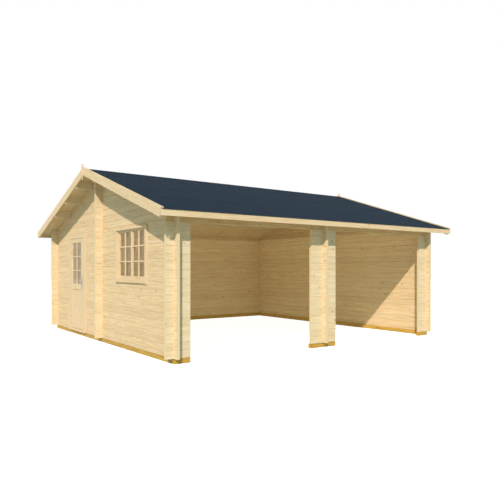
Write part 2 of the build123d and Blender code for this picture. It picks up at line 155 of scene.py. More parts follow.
cells = put(
    long_grain, "ShaderNodeTexVoronoi",
    {"Vector": face, "Scale": 1.0, "Randomness": 0.9}, voronoi_dimensions="2D",
).outputs
offset = put(
    long_grain, "ShaderNodeVectorMath", {0: face, 1: cells["Position"]}, operation="SUBTRACT",
).outputs[0]
in_metres = scaled(long_grain, offset, (1 / (knots_along * knot_length), 1 / knots_up, 0.0))
away = put(long_grain, "ShaderNodeVectorMath", {0: in_metres}, operation="LENGTH").outputs["Value"]
chance = put(long_grain, "ShaderNodeSeparateColor", {0: cells["Color"]}).outputs
knot_radius = spread(long_grain, chance[0], 0.0, 1.0, smallest_knot, largest_knot)
radii_away = reckon(long_grain, "DIVIDE", away, knot_radius)
inside = spread(long_grain, radii_away, 0.75, 1.1, 1.0, 0.0)
halo = spread(long_grain, radii_away, 0.9, 3.4, 0.45, 0.0)
present = reckon(long_grain, "LESS_THAN", chance[1], given["Knottiness"])
knot = reckon(long_grain, "MULTIPLY", inside, present)
plain = blend_colours(long_grain, shade, given["Pale"], given["Deep"])
warmed = blend_colours(long_grain, reckon(long_grain, "MULTIPLY", halo, present), plain, given["Deep"])
coloured = blend_colours(
    long_grain, reckon(long_grain, "MULTIPLY", knot, knot_strength), warmed, given["Knot"],
)
long_grain.links.new(coloured, result["Colour"])
long_grain.links.new(reckon(long_grain, "MULTIPLY_ADD", knot, 0.6, figure), result["Height"])

# End grain: rings about a heart that lies off the middle of the timber, darker and dry
heart_low = -0.09
heart_high = 0.01
ring_density = 55.0
ring_strength = 0.6
end_grain, given, result = new_group(
    "end_grain",
    {"Across": "Float", "Up": "Float", "Chance": "Float", "Pale": "Color", "Deep": "Color"},
    {"Colour": "Color"},
)
heart = spread(end_grain, given["Chance"], 0.0, 1.0, heart_low, heart_high)
from_heart = put(
    end_grain, "ShaderNodeCombineXYZ",
    {"X": given["Across"], "Y": reckon(end_grain, "ADD", given["Up"], heart)},
).outputs[0]
rings = put(
    end_grain, "ShaderNodeTexWave",
    {
        "Vector": from_heart, "Scale": ring_density,
        "Distortion": 1.2, "Detail": 2.0, "Detail Scale": 0.4,
    },
    wave_type="RINGS", rings_direction="Z",
).outputs["Fac"]
ringed = blend_colours(
    end_grain, reckon(end_grain, "MULTIPLY", rings, ring_strength), given["Pale"], given["Deep"],
)
end_grain.links.new(ringed, result["Colour"])

# Courses: which log or board a point is on, and how near it is to a joint
courses, given, result = new_group(
    "courses",
    {"Along stack": "Float", "First joint": "Float", "Width": "Float", "Seam": "Float"},
    {"Number": "Float", "Chance": "Float", "Within": "Float", "Seam mask": "Float"},
)
past_first = reckon(courses, "SUBTRACT", given["Along stack"], given["First joint"])
level = reckon(courses, "DIVIDE", past_first, given["Width"])
number = reckon(courses, "FLOOR", level)
part_way = reckon(courses, "FRACT", level)
odds = put(courses, "ShaderNodeTexWhiteNoise", {"W": number}, noise_dimensions="1D")
to_joint = reckon(
    courses, "MULTIPLY", reckon(courses, "MINIMUM", part_way, reckon(courses, "SUBTRACT", 1.0, part_way)),
    given["Width"],
)
nearness = reckon(courses, "SUBTRACT", 1.0, reckon(courses, "DIVIDE", to_joint, given["Seam"]))
courses.links.new(number, result["Number"])
courses.links.new(odds.outputs["Value"], result["Chance"])
courses.links.new(reckon(courses, "MULTIPLY", part_way, given["Width"]), result["Within"])
courses.links.new(reckon(courses, "MAXIMUM", nearness, 0.0), result["Seam mask"])


def runs(tree, direction):
    """A point's distance along the grain, through the timber and up its face, and how squarely the surface
    there faces along the grain, by the way the timber lies."""
    spot = put(tree, "ShaderNodeTexCoord").outputs
    at = put(tree, "ShaderNodeSeparateXYZ", {0: spot["Object"]}).outputs
    facing = put(tree, "ShaderNodeSeparateXYZ", {0: spot["Normal"]}).outputs
    if direction == "x":
        order = at["X"], at["Y"], at["Z"], facing["X"]
    elif direction == "y":
        order = at["Y"], at["X"], at["Z"], facing["Y"]
    elif direction == "z":
        order = at["Z"], at["X"], at["Y"], facing["Z"]
    else:
        side = reckon(tree, "ABSOLUTE", at["Y"])
        down = reckon(tree, "MULTIPLY_ADD", side, cos(pitch), reckon(tree, "MULTIPLY", at["Z"], -sin(pitch)))
        square = reckon(tree, "MULTIPLY_ADD", side, sin(pitch), reckon(tree, "MULTIPLY", at["Z"], cos(pitch)))
        across = (at["X"], square) if direction == "gable" else (square, at["X"])
        order = down, across[0], across[1], facing["Y"]
    return order


row_shift = (7.31, 3.17, 0.0)
end_share = 0.75
squarely = 0.7


def timber(
    name, direction, pale, deep, knot, knottiness, stack=None, seam_shade=0.0, ends=None, relief=0.0012,
    outside=None,
):
    """A timber material: long grain on the sides, rings on the cut ends, and a tone of its own for each log
    or board of a stack given as (the axis it is counted along, first joint, width, width of the seam). Past
    the first value of outside, measured along the grain, the wood takes its two other colours, which are
    paler: painted light on the log ends standing out past the corners, beside the painted shade of the walls."""
    material, tree, shader = new_material(name)
    along, through, up, facing = runs(tree, direction)
    place = put(tree, "ShaderNodeCombineXYZ", {"X": along, "Y": through, "Z": up}).outputs[0]
    row_chance = 0.4
    if outside:
        past = reckon(tree, "GREATER_THAN", reckon(tree, "ABSOLUTE", along), outside[0])
        pale = blend_colours(tree, past, pale, outside[1])
        deep = blend_colours(tree, past, deep, outside[2])
    if stack:
        axis, first_joint, width, seam = stack
        spot = put(tree, "ShaderNodeTexCoord").outputs["Object"]
        at = put(tree, "ShaderNodeSeparateXYZ", {0: spot}).outputs
        rows = use_group(
            tree, courses,
            {"Along stack": at[axis], "First joint": first_joint, "Width": width, "Seam": seam},
        )
        up, row_chance = rows["Within"], rows["Chance"]
        place = put(
            tree, "ShaderNodeVectorMath", {0: rows["Number"], 1: row_shift, 2: place},
            operation="MULTIPLY_ADD",
        ).outputs[0]
    grain = use_group(
        tree, long_grain,
        {"Place": place, "Pale": pale, "Deep": deep, "Knot": knot, "Knottiness": knottiness},
    )
    colour, height = grain["Colour"], grain["Height"]
    if stack:
        tone = spread(tree, row_chance, 0.0, 1.0, 0.95, 1.02)
        seam_tone = reckon(tree, "SUBTRACT", 1.0, reckon(tree, "MULTIPLY", rows["Seam mask"], seam_shade))
        for level in (tone, seam_tone):
            grey = put(tree, "ShaderNodeCombineColor", {0: level, 1: level, 2: level}).outputs[0]
            colour = blend_colours(tree, 1.0, colour, grey, "MULTIPLY")
    if ends:
        end_pale = blend_colours(tree, end_share, pale, ends)
        cut = use_group(
            tree, end_grain,
            {"Across": through, "Up": up, "Chance": row_chance, "Pale": end_pale, "Deep": ends},
        )
        on_end = reckon(tree, "GREATER_THAN", reckon(tree, "ABSOLUTE", facing), squarely)
        colour = blend_colours(tree, on_end, colour, cut["Colour"])
    rough = spread(tree, height, 0.2, 0.9, 0.70, 0.52)
    bump = put(tree, "ShaderNodeBump", {"Height": height, "Distance": relief, "Strength": 0.6})
    tree.links.new(colour, shader.inputs["Base Color"])
    tree.links.new(rough, shader.inputs["Roughness"])
    tree.links.new(bump.outputs[0], shader.inputs["Normal"])
    shader.inputs["Specular IOR Level"].default_value = 0.3
    return material


def finish_nodes(material, *names):
    """Gives CAD nodes their finish."""
    for name in names:
        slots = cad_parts[name].data.materials
        slots.clear()
        slots.append(material)


treated_pale = (0.60, 0.385, 0.075, 1)
treated_deep = (0.40, 0.23, 0.035, 1)
treated_knot = (0.12, 0.06, 0.02, 1)
treated_end = (0.52, 0.32, 0.058, 1)
sawn_relief = 0.002
beam_y, beam_x = (
    timber(
        "treated_beam_" + way, way, treated_pale, treated_deep, treated_knot, knottiness=0.5,
        ends=treated_end, relief=sawn_relief,
    )
    for way in ("y", "x")
)


def solid(name, mesh, materials, body):
    """Turns a worked mesh into a piece of the cabin that moves with one of its bodies."""
    bmesh.ops.recalc_face_normals(mesh, faces=mesh.faces)
    made = bpy.data.objects.new(name, bpy.data.meshes.new(name))
    mesh.to_mesh(made.data)
    mesh.free()
    for material in materials:
        made.data.materials.append(material)
    bpy.context.scene.collection.objects.link(made)
    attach(made, body)
    return made


def sweep(mesh, first, second, slot=0):
    """Joins two matching outlines into a solid length."""
    start = [mesh.verts.new(p) for p in first]
    end = [mesh.verts.new(p) for p in second]
    count = len(start)
    faces = []
    for i in range(count):
        j = (i + 1) % count
        faces.append(mesh.faces.new((start[i], start[j], end[j], end[i])))
    faces += [mesh.faces.new(start[::-1]), mesh.faces.new(end)]
    for face in faces:
        face.material_index = slot


beam_rebate = 0.008
beam_ease = 0.003


def ground_beam(mesh, lies_along, out, low, high):
    """A length of ground beam, rebated along the top of its outer edge where the first log drips."""
    width = (high.x - low.x) if lies_along == "y" else (high.y - low.y)
    section = [(beam_ease, low.z), (0, low.z + beam_ease), (0, high.z - beam_rebate - beam_ease)]
    section += [(beam_rebate, high.z - beam_rebate), (beam_rebate, high.z), (width, high.z)]
    section += [(width, low.z + beam_ease), (width - beam_ease, low.z)]
    if lies_along == "y":
        edge = low.x if out < 0 else high.x
        ends = [[(edge - out * a, y, z) for a, z in section] for y in (low.y, high.y)]
    else:
        edge = low.y if out < 0 else high.y
        ends = [[(x, edge - out * a, z) for a, z in section] for x in (low.x, high.x)]
    sweep(mesh, *ends)


for side, out in (("left", -1), ("right", 1)):
    mesh = bmesh.new()
    ground_beam(mesh, "y", out, *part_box("foundation_" + side))
    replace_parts(solid("ground_beam_" + side, mesh, [beam_y], "cabin"), "foundation_" + side)

mesh = bmesh.new()
ground_beam(mesh, "x", 1, *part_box("foundation_back"))
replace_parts(solid("ground_beam_back", mesh, [beam_x], "cabin"), "foundation_back")

front_low, front_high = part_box("foundation_front")
left_foot, middle_foot, right_foot = (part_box("post_front_" + place) for place in ("left", "middle", "right"))
post_feet = [
    (front_low.x, left_foot[1].x), (middle_foot[0].x, middle_foot[1].x), (right_foot[0].x, front_high.x),
]
mesh = bmesh.new()
for x0, x1 in post_feet:
    low = Vector((x0, front_low.y, front_low.z))
    high = Vector((x1, front_high.y, front_high.z))
    ground_beam(mesh, "x", -1, low, high)
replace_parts(solid("ground_beams_front", mesh, [beam_x], "cabin"), "foundation_front")

# Log walls: planed softwood logs, one on another with a bevelled edge at each
# joint, halved over each other where walls cross. Their ends stand out past
# every corner and show the rings. The side and back walls take a darker, warmer
# copy of the pine as painted shade, for the dim warm light on the side wall and
# in the room. Their ends past the corners are painted paler, as painted light.
pine_pale = (0.80, 0.695, 0.485, 1)
pine_deep = (0.71, 0.55, 0.31, 1)
# The next two colours are painted shade: the pine darkened and warmed for the side and back walls and the
# room.
warm_shade_pale = (0.785, 0.638, 0.41, 1)
warm_shade_deep = (0.675, 0.48, 0.245, 1)
# The next two colours are painted shade: the pine darkened and browned for the lintel under the eave.
painted_shade_pale = (0.71, 0.54, 0.29, 1)
painted_shade_deep = (0.60, 0.41, 0.175, 1)
pine_knot = (0.55, 0.26, 0.09, 1)
pine_end = (0.74, 0.585, 0.325, 1)
log_course = 0.113
log_seam = 0.006
log_seam_shade = 0.15
x_joint = 0.075
y_joint = x_joint + log_course / 2
side_wall_face = -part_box("wall_left_lower")[0].x
back_wall_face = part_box("wall_back")[1].y


def logs(name, direction, pale, deep, knottiness, outside=None):
    """The logs of the walls that run one way, counted from their own lowest joint."""
    joint = x_joint if direction == "x" else y_joint
    return timber(
        name, direction, pale, deep, pine_knot, knottiness, stack=("Z", joint, log_course, log_seam),
        seam_shade=log_seam_shade, ends=pine_end, outside=outside,
    )


finish_nodes(
    logs("log_along_x", "x", pine_pale, pine_deep, knottiness=0.50),
    "post_front_left", "post_front_middle", "post_front_right", "stiffener_left", "stiffener_right",
)
# Painted shade on the walls' logs, and painted light on their paler ends past the corners.
finish_nodes(
    logs(
        "log_along_y", "y", warm_shade_pale, warm_shade_deep, knottiness=0.30,
        outside=(back_wall_face, pine_pale, pine_deep),
    ),
    "wall_left_rear", "wall_left_lower", "wall_left_middle", "wall_left_front", "wall_left_head",
    "wall_left_gable", "wall_right", "wall_right_gable", "post_cross",
)
finish_nodes(
    logs(
        "log_of_back_wall", "x", warm_shade_pale, warm_shade_deep, knottiness=0.30,
        outside=(side_wall_face, pine_pale, pine_deep),
    ),
    "wall_back",
)
# The lintel takes the painted-shade copy, for the shade of the eave over it.
finish_nodes(logs("lintel_log", "x", painted_shade_pale, painted_shade_deep, knottiness=0.30), "lintel_front")

# Roof beams: planed planks on edge, let into pockets in both gables and
# running out under the overhangs.
roof_beam = timber("roof_beam", "x", pine_pale, pine_deep, pine_knot, knottiness=0.3, ends=pine_end)
finish_nodes(roof_beam, "purlin_ridge", "purlins_front", "purlins_rear")

# Roof boards: tongued boards from ridge to eave, nailed to the roof beams with
# their bevelled edges down. The underside shows in both bays and under the
# overhangs.
roof_slope = 0.3205
pitch = atan(roof_slope)
deck_low, deck_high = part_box("roof_deck_rear")
roof_under_ridge = deck_low.z + roof_slope * deck_high.y
board_width = 0.1105
board_bevel = 0.004
board_seam = 0.004
deck_thick = 0.019
# The boards' two colours are the pine darkened and warmed as painted shade, for the underside, which shows
# only in shade.
board_shade_pale = (0.735, 0.58, 0.34, 1)
board_shade_deep = (0.635, 0.46, 0.23, 1)
roof_board = timber(
    "roof_board", "roof", board_shade_pale, board_shade_deep, pine_knot, knottiness=0.35,
    stack=("X", 0.0, board_width, board_seam), seam_shade=0.25,
)


def board_slope(name, side):
    """All the boards of one slope, mitred at the ridge."""
    low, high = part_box(name)
    reach = high.y if side > 0 else -low.y
    mesh = bmesh.new()
    count = round((high.x - low.x) / board_width)
    width = (high.x - low.x) / count
    for i in range(count):
        x0, x1 = low.x + i * width, low.x + (i + 1) * width
        section = [(x0, board_bevel), (x0 + board_bevel, 0), (x1 - board_bevel, 0), (x1, board_bevel)]
        section += [(x1, deck_thick), (x0, deck_thick)]
        ends = []
        for y in (0, reach):
            base = roof_under_ridge - roof_slope * y
            ends.append([(x, side * y, base + h / cos(pitch)) for x, h in section])
        sweep(mesh, *ends)
    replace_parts(solid(name + "_boards", mesh, [roof_board], "cabin"), name)


board_slope("roof_deck_front", -1)
board_slope("roof_deck_rear", 1)

# Roof felt: mineral-faced bitumen felt, slate blue and matt, laid in strips
# along the roof, each lapping the one below, nailed along the edges.
grit_dark = (0.0018, 0.006, 0.016, 1)
grit_light = (0.0066, 0.023, 0.0432, 1)
worn_patch = (0.006, 0.021, 0.0385, 1)
felt, tree, shader = new_material("roof_felt")
spot = put(tree, "ShaderNodeTexCoord").outputs["Object"]
grit = noise(tree, spot, 420.0, 2.0)["Fac"]
worn = spread(tree, noise(tree, spot, 3.0, 3.0)["Fac"], 0.3, 0.7)
mineral = blend_colours(tree, spread(tree, grit, 0.3, 0.7), grit_dark, grit_light)
mineral = blend_colours(tree, reckon(tree, "MULTIPLY", worn, 0.3), mineral, worn_patch)
rise = put(tree, "ShaderNodeBump", {"Height": grit, "Distance": 0.001, "Strength": 0.6})
tree.links.new(mineral, shader.inputs["Base Color"])
tree.links.new(spread(tree, grit, 0.2, 0.8, 0.98, 0.82), shader.inputs["Roughness"])
tree.links.new(rise.outputs[0], shader.inputs["Normal"])
shader.inputs["Specular IOR Level"].default_value = 0.115


def metal(name, deep, pale, mottle, detail, smooth, rough, contrast=0.3):
    """A metal finish whose colour and polish vary over it; mottle gives the spots in a metre each way."""
    material, tree, shader = new_material(name)
    spot = put(tree, "ShaderNodeTexCoord").outputs["Object"]
    spots = noise(tree, scaled(tree, spot, mottle), 1.0, detail)["Fac"]
    polish = spread(tree, spots, 0.5 - contrast, 0.5 + contrast, smooth, rough)
    tree.links.new(blend_colours(tree, spots, deep, pale), shader.inputs["Base Color"])
    tree.links.new(polish, shader.inputs["Roughness"])
    shader.inputs["Metallic"].default_value = 1.0
    return material


zinc = metal(
    "zinc_plated", (0.20, 0.21, 0.22, 1), (0.31, 0.32, 0.33, 1),
    mottle=(600.0, 600.0, 600.0), detail=2.0, smooth=0.38, rough=0.55,
)

felt_low, felt_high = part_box("roof_felt")
felt_length = felt_high.x - felt_low.x
felt_thick = 0.004
strip_width = 1.0
strip_lap = 0.10
ridge_strip = 0.25
nail_step = 0.12
nail_inset = 0.022
nail_radius = 0.005
nail_head = [(1.0, 0.0), (0.92, 0.0007), (0.45, 0.0011)]
head_sides = 10


def on_roof(x, side, down, rise):
    """A point measured down a slope from the ridge and square up from the roof boards."""
    top = roof_under_ridge + deck_thick / cos(pitch)
    y = side * (down * cos(pitch) + rise * sin(pitch))
    return Vector((x, y, top - down * sin(pitch) + rise * cos(pitch)))


def skin(mesh, rings):
    """Joins a row of rings into a solid, closed at both ends."""
    count = len(rings[0])
    for outer, inner in zip(rings, rings[1:]):
        for i in range(count):
            j = (i + 1) % count
            mesh.faces.new((outer[i], outer[j], inner[j], inner[i]))
    mesh.faces.new(rings[0][::-1])
    mesh.faces.new(rings[-1])


def heads(mesh, places, facing, radius, profile):
    """Small turned heads of nails or screws; the profile gives shares of the radius and heights."""
    turn = Vector(facing).to_track_quat("Z", "Y").to_matrix()
    turns = [2 * pi * i / head_sides for i in range(head_sides)]
    for place in places:
        rings = []
        for share, rise in profile:
            ring = [Vector((cos(a) * share * radius, sin(a) * share * radius, rise)) for a in turns]
            rings.append([mesh.verts.new(Vector(place) + turn @ p) for p in ring])
        skin(mesh, rings)


slope_length = (felt_high.y - felt_thick * sin(pitch)) / cos(pitch)
nail_count = round(felt_length / nail_step)
nail_lines = [felt_low.x + felt_length * (i + 0.5) / nail_count for i in range(nail_count)]
felting = bmesh.new()
felt_nails = bmesh.new()
for side in (-1, 1):
    foot = slope_length
    under = 0.0
    while foot > 0:
        head = max(foot - strip_width, 0.0)
        section = [(head, 0.0), (foot, under), (foot, felt_thick), (head, felt_thick / 2)]
        sweep(felting, *[[on_roof(x, side, d, h) for d, h in section] for x in (felt_low.x, felt_high.x)])
        places = [on_roof(x, side, foot - nail_inset, felt_thick) for x in nail_lines]
        heads(felt_nails, places, (0, side * sin(pitch), cos(pitch)), nail_radius, nail_head)
        foot -= strip_width - strip_lap
        under = felt_thick / 2
ends = []
for x in (felt_low.x, felt_high.x):
    over = [on_roof(x, side, ridge_strip, felt_thick) for side in (-1, 1)]
    below = [on_roof(x, side, ridge_strip, felt_thick / 2) for side in (1, -1)]
    peak = [Vector((x, 0, felt_high.z)), Vector((x, 0, felt_high.z - felt_thick / 2))]
    ends.append([over[0], peak[0], over[1], below[0], peak[1], below[1]])
sweep(felting, *ends)
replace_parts(solid("felt_strips", felting, [felt], "cabin"), "roof_felt")
solid("felt_nails", felt_nails, [zinc], "cabin")

# Eave boards: planed boards along both eaves, closing the ends of the roof
# boards under the edge of the felt.
trim_pale = (0.77, 0.62, 0.405, 1)
trim_deep = (0.68, 0.50, 0.28, 1)
eave_board = timber("eave_board", "x", trim_pale, trim_deep, pine_knot, knottiness=0.4, ends=pine_end)
finish_nodes(eave_board, "fascia_front", "fascia_rear")
eave_screw_count = 14
eave_screw_drop = 0.020
screw_radius = 0.004
screw_head = [(1.0, 0.0), (0.95, 0.0005), (0.5, 0.0007), (0.38, 0.0002)]
eave_screws = bmesh.new()
for side, name in ((-1, "fascia_front"), (1, "fascia_rear")):
    low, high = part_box(name)
    face = low.y if side < 0 else high.y
    lines = [low.x + (high.x - low.x) * (i + 0.5) / eave_screw_count for i in range(eave_screw_count)]
    places = [(x, face, high.z - eave_screw_drop) for x in lines]
    heads(eave_screws, places, (0, side, 0), screw_radius, screw_head)
solid("eave_screws", eave_screws, [zinc], "cabin")

# Gable boards: a deep board and a capping strip along each slope of both
# gables, screwed to the roof boards, with a slim slat over the joint at the
# peak, cut to a point at both ends.
gable_board = timber("gable_board", "gable", trim_pale, trim_deep, pine_knot, knottiness=0.4)
slat = timber("peak_slat", "z", trim_pale, trim_deep, pine_knot, knottiness=0.2)
finish_nodes(gable_board, "barge_left", "barge_right", "cap_left", "cap_right")
slat_width = 0.060
slat_tip = 0.065
slat_tail = 0.115
slat_ease = 0.002
for side in ("left", "right"):
    low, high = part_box("finial_" + side)
    half = slat_width / 2
    shoulder, waist = high.z - slat_tip, low.z + slat_tail
    outline = [(0, high.z), (half, shoulder), (half, waist), (0, low.z), (-half, waist), (-half, shoulder)]
    mesh = bmesh.new()
    sweep(mesh, *[[(x, y, z) for y, z in outline] for x in (low.x, high.x)])
    bmesh.ops.bevel(mesh, geom=mesh.edges[:], offset=slat_ease, segments=2, profile=0.5, affect="EDGES")
    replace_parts(solid("peak_slat_" + side, mesh, [slat], "cabin"), "finial_" + side)
board_middle = -0.0345
screw_apart = 0.030
screw_lines = [0.465, 1.135, 1.805, 2.70]
gable_screws = bmesh.new()
for out, name in ((-1, "barge_left"), (1, "barge_right")):
    low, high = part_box(name)
    face = low.x if out < 0 else high.x
    places = []
    for y in screw_lines:
        z = roof_under_ridge - roof_slope * y + board_middle / cos(pitch)
        places += [(face, side * y, z + up) for side in (-1, 1) for up in (-screw_apart, screw_apart)]
    heads(gable_screws, places, (out, 0, 0), screw_radius, screw_head)
solid("gable_screws", gable_screws, [zinc], "cabin")

# Door frame: planed jambs and head, rebated for the leaf, standing through
# the log wall on a threshold, with a sill board outside that throws off rain.
upright = timber("joinery_upright", "z", trim_pale, trim_deep, pine_knot, knottiness=0.3)
level_wood = timber("joinery_level", "y", trim_pale, trim_deep, pine_knot, knottiness=0.3)
leaf_low, leaf_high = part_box("door_leaf")
frame_low, frame_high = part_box("door_frame")
leaf_gap = 0.007
jamb = 0.036
stop_lap = 0.015
sill_ease = 0.004


def plank(mesh, low, high, edge=0.002, slot=0):
    """A planed board between two corners with its edges just eased."""
    made = bmesh.ops.create_cube(mesh, size=1.0)["verts"]
    low, high = Vector(low), Vector(high)
    size = high - low
    for v in made:
        v.co = (low + high) / 2 + Vector(a * b for a, b in zip(v.co, size))
    edges = list({e for v in made for e in v.link_edges})
    faces = {f for v in made for f in v.link_faces}
    eased = bmesh.ops.bevel(
        mesh, geom=edges, offset=edge, offset_type="OFFSET", segments=2, profile=0.5, affect="EDGES",
    )
    for f in {f for f in faces if f.is_valid} | set(eased["faces"]):
        f.material_index = slot


# Each jamb is as wide as the gap beside the leaf and wider behind it, where the leaf closes on it
stop_x = leaf_high.x + leaf_gap
face_x = leaf_low.x
clear_y0, clear_y1 = leaf_low.y - leaf_gap, leaf_high.y + leaf_gap
jamb_y0, jamb_y1 = clear_y0 - jamb, clear_y1 + jamb
clear_top = leaf_high.z + leaf_gap
floor_top = leaf_low.z - leaf_gap
mesh = bmesh.new()
for outer, inner in ((jamb_y0, clear_y0), (jamb_y1, clear_y1)):
    stop = inner + (stop_lap if outer < inner else -stop_lap)
    section = [(face_x, outer), (face_x, inner), (stop_x, inner), (stop_x, stop)]
    section += [(frame_high.x, stop), (frame_high.x, outer)]
    sweep(mesh, *[[(x, y, z) for x, y in section] for z in (floor_top, frame_high.z)])
section = [(face_x, frame_high.z), (face_x, clear_top), (stop_x, clear_top), (stop_x, clear_top - stop_lap)]
section += [(frame_high.x, clear_top - stop_lap), (frame_high.x, frame_high.z)]
sweep(mesh, [(x, clear_y0, z) for x, z in section], [(x, clear_y1, z) for x, z in section], slot=1)
plank(mesh, (face_x, jamb_y0, frame_low.z), (frame_high.x, jamb_y1, floor_top), slot=1)
plank(mesh, (frame_low.x, frame_low.y, frame_low.z), (face_x, clear_y1, floor_top), edge=sill_ease, slot=1)
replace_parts(solid("door_lining", mesh, [upright, level_wood], "cabin"), "door_frame")

# Casing boards round the doorway, inside and out: two uprights with a head
# board between them, butted and nailed over the joint between frame and logs.
casing_thick = 0.018
wall_low, wall_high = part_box("wall_left_lower")
casing_faces = [(wall_low.x - casing_thick, wall_low.x, -1), (wall_high.x, wall_high.x + casing_thick, 1)]
pin_head = [(1.0, 0.0), (0.8, 0.0004), (0.4, 0.0005)]
pin_radius = 0.0032
pin_end = 0.03
door_pin_foot = 0.05
door_pin_step = 0.32


def board_nails(mesh, face, out, lines, low, high, step):
    """Nails up each board's middle, from its low end to its high end."""
    count = max(2, round((high - low) / step))
    levels = [low + (high - low) * (i + 0.5) / count for i in range(count)]
    heads(mesh, [(face, y, z) for y in lines for z in levels], (out, 0, 0), pin_radius, pin_head)


low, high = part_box("door_trim")
mesh = bmesh.new()
nails = bmesh.new()
for x0, x1, out in casing_faces:
    plank(mesh, (x0, low.y, low.z), (x1, jamb_y0, high.z))
    plank(mesh, (x0, jamb_y1, low.z), (x1, high.y, high.z))
    plank(mesh, (x0, jamb_y0, frame_high.z), (x1, jamb_y1, high.z), slot=1)
    face = x0 if out < 0 else x1
    lines = [(low.y + jamb_y0) / 2, (high.y + jamb_y1) / 2]
    board_nails(nails, face, out, lines, low.z + door_pin_foot, high.z - pin_end, door_pin_step)
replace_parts(solid("door_casing", mesh, [upright, level_wood], "cabin"), "door_trim")
solid("door_casing_nails", nails, [zinc], "cabin")

# Side door: two stiles and three rails with a boarded panel below and glass
# above. Bars just behind the leaf's outer face divide the glass in six, and a
# bead holds it all round on both faces.
glass_low, glass_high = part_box("door_glass")
bottom_rail = 0.075
lock_rail = 0.110
panel_thick = 0.016
panel_board = 0.0835
panel_ease = 0.004
bead = 0.005
bead_depth = 0.007
bead_ease = 0.0015
bar_width = 0.022
bar_depth = 0.017
bar_back = 0.001
bar_ease = 0.003
bar_columns = 2
bar_rows = 3
middle_x = (leaf_low.x + leaf_high.x) / 2
panel_top = glass_low.z - lock_rail
panel_low = leaf_low.z + bottom_rail

mesh = bmesh.new()
for y0, y1 in ((leaf_low.y, glass_low.y), (glass_high.y, leaf_high.y)):
    plank(mesh, (leaf_low.x, y0, leaf_low.z), (leaf_high.x, y1, leaf_high.z))
for z0, z1 in ((leaf_low.z, panel_low), (panel_top, glass_low.z), (glass_high.z, leaf_high.z)):
    plank(mesh, (leaf_low.x, glass_low.y, z0), (leaf_high.x, glass_high.y, z1), slot=1)
count = round((glass_high.y - glass_low.y) / panel_board)
width = (glass_high.y - glass_low.y) / count
panel_x0, panel_x1 = middle_x - panel_thick / 2, middle_x + panel_thick / 2
for i in range(count):
    y0 = glass_low.y + i * width
    plank(mesh, (panel_x0, y0, panel_low), (panel_x1, y0 + width, panel_top), edge=panel_ease)
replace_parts(solid("door_joinery", mesh, [upright, level_wood], "side_door"), "door_leaf")


def glazing_bars(mesh, low, high, outer):
    """Crossing bars that divide a pane, let into its frame at their ends, with a bead round both faces of the
    glass; outer is the level of their outer face."""
    x0, x1 = outer, min(outer + bar_depth, low.x)
    half = bar_width / 2
    lines = [low.y + (high.y - low.y) * i / bar_columns for i in range(1, bar_columns)]
    for y in lines:
        plank(mesh, (x0, y - half, low.z), (x1, y + half, high.z), edge=bar_ease)
    gaps = list(zip([low.y] + [y + half for y in lines], [y - half for y in lines] + [high.y]))
    for i in range(1, bar_rows):
        z = low.z + (high.z - low.z) * i / bar_rows
        for y0, y1 in gaps:
            plank(mesh, (x0, y0, z - half), (x1, y1, z + half), edge=bar_ease, slot=1)
    for face, out in ((low.x, -1), (high.x, 1)):
        x0, x1 = sorted((face, face + out * bead_depth))
        for y0, y1 in ((low.y, low.y + bead), (high.y - bead, high.y)):
            plank(mesh, (x0, y0, low.z), (x1, y1, high.z), edge=bead_ease)
        for z0, z1 in ((low.z, low.z + bead), (high.z - bead, high.z)):
            plank(mesh, (x0, low.y + bead, z0), (x1, high.y - bead, z1), edge=bead_ease, slot=1)


mesh = bmesh.new()
glazing_bars(mesh, glass_low, glass_high, leaf_low.x + bar_back)
solid("door_bars", mesh, [upright, level_wood], "side_door")

# Glass: clear drawn sheet, held by the beads, tinted warm as painted light from
# the room seen through it, and with a little dust in patches.
# Both tints are painted light: the warm room seen through the glass, darker where the dust lies.
painted_room_tint = (0.83, 0.80, 0.66, 1)
dusty_room_tint = (0.71, 0.67, 0.52, 1)
glass, tree, shader = new_material("pane_glass")
spot = put(tree, "ShaderNodeTexCoord").outputs["Object"]
dust = noise(tree, spot, 9.0, 4.0)["Fac"]
wave = noise(tree, spot, 4.0, 0.0)["Fac"]
rise = put(tree, "ShaderNodeBump", {"Height": wave, "Distance": 0.002, "Strength": 0.15})
tint = blend_colours(tree, spread(tree, dust, 0.35, 0.8), painted_room_tint, dusty_room_tint)
tree.links.new(tint, shader.inputs["Base Color"])
tree.links.new(spread(tree, dust, 0.4, 0.8, 0.02, 0.12), shader.inputs["Roughness"])
tree.links.new(rise.outputs[0], shader.inputs["Normal"])
shader.inputs["Transmission Weight"].default_value = 1.0
shader.inputs["IOR"].default_value = 1.3
shader.inputs["Specular IOR Level"].default_value = 0.2
finish_nodes(glass, "door_glass")

# Door handle: a satin steel plate screwed to each face of the leaf, with a
# round neck and a lever that is oval in section and rounded at its end.
steel = metal(
    "satin_steel", (0.21, 0.225, 0.25, 1), (0.30, 0.315, 0.34, 1),
    mottle=(900.0, 900.0, 40.0), detail=2.0, smooth=0.26, rough=0.42,
)
handle_low, handle_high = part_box("door_handle")
plate_thick = 0.004
plate_width = 0.042
plate_height = 0.230
plate_corner = 0.010
plate_ease = 0.0012
plate_ease_start = 0.7
corner_steps = 5
plate_screw_inset = 0.014
plate_screw_radius = 0.0042
collar_radius = 0.0125
collar_thick = 0.003
neck_radius = 0.0082
neck_flare = 0.002
lever_length = 0.110
lever_radius = 0.009
lever_thick = 0.0085
lever_z = handle_low.z + plate_height * 2 / 3
lever_y = handle_high.y + lever_radius - lever_length
# Where the lever's thickness changes, and its share of the full thickness there
lever_shape = [
    (lever_y - lever_radius, 0.45), (lever_y - lever_radius * 0.6, 0.85), (lever_y, 1.0),
    (lever_y + 0.045, 0.92), (handle_high.y - 0.012, 0.86), (handle_high.y - 0.004, 0.70),
    (handle_high.y, 0.35),
]
lever_sides = 24


